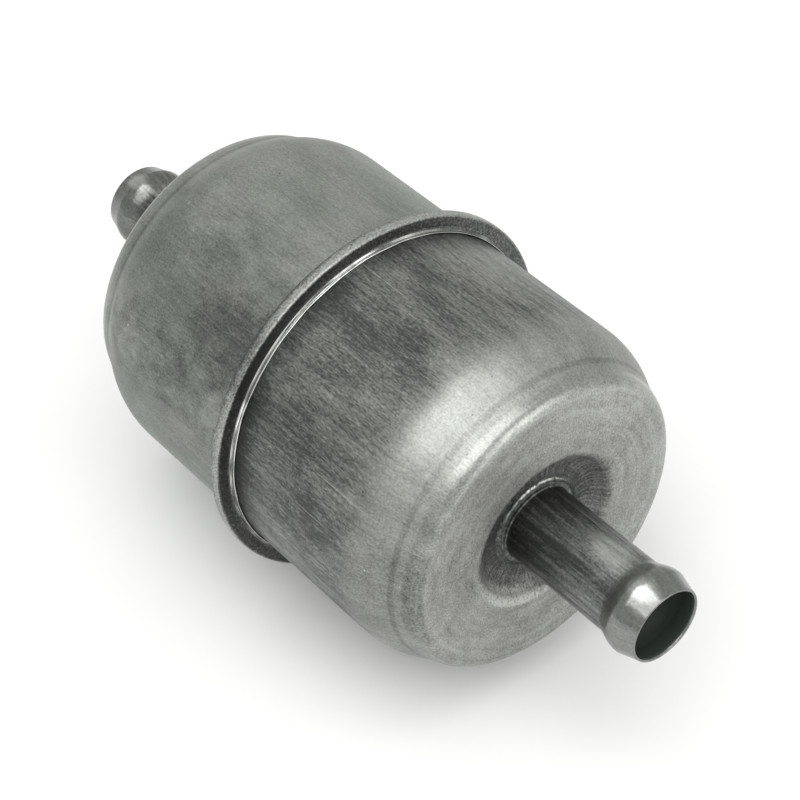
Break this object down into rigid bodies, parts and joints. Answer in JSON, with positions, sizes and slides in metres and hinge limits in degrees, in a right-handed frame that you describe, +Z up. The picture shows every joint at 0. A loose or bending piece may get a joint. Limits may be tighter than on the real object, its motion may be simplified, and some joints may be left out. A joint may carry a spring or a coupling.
{
  "type": "in-line fuel filter",
  "caption": "In-line fuel filter: drawn steel casing with a rolled seam, a pleated paper element on a spring inside, and a beaded hose tube at each end.",
  "frame": {"origin": "on the filter's axis, at the middle of the rolled seam, which is the centre of its box", "axes": "+X along the axis, the way fuel flows, out of the outlet tube; +Z up as the filter lies on its side"},
  "size_m": [0.0984, 0.0484, 0.0484],
  "materials": {
    "casing_steel": "satin zinc-plated drawn sheet, fine draw marks along the axis",
    "tube_steel": "drawn tube with lengthwise marks",
    "braze": "smooth bright fillet",
    "seal_rubber": "matte",
    "filter_paper": "resin-treated pleated paper",
    "element_steel": "bright tinned sheet",
    "potting_resin": "cured resin, slightly glossy",
    "spring_steel": "drawn spring wire"
  },
  "bodies": {
    "casing": {"inlet_shell": "casing_steel", "outlet_shell": "casing_steel", "seam_gasket": "seal_rubber", "inlet_tube": "tube_steel", "outlet_tube": "tube_steel", "inlet_braze_ring": "braze", "outlet_braze_ring": "braze", "spring_seat": "element_steel", "element_spring": "spring_steel"},
    "element": {"filter_media": "filter_paper", "pleat_seam_clip": "element_steel", "core_tube": "element_steel", "inlet_end_cap": "element_steel", "outlet_end_cap": "element_steel", "inlet_potting": "potting_resin", "outlet_potting": "potting_resin", "outlet_seal": "seal_rubber"}
  },
  "joints": [
    {"name": "element_float", "type": "slide", "parent": "casing", "child": "element", "axis": [1, 0, 0], "range_m": [-0.003, 0], "stiffness_N_per_m": 900, "springref_m": 0.005, "deforming": ["element_spring"]}
  ]
}
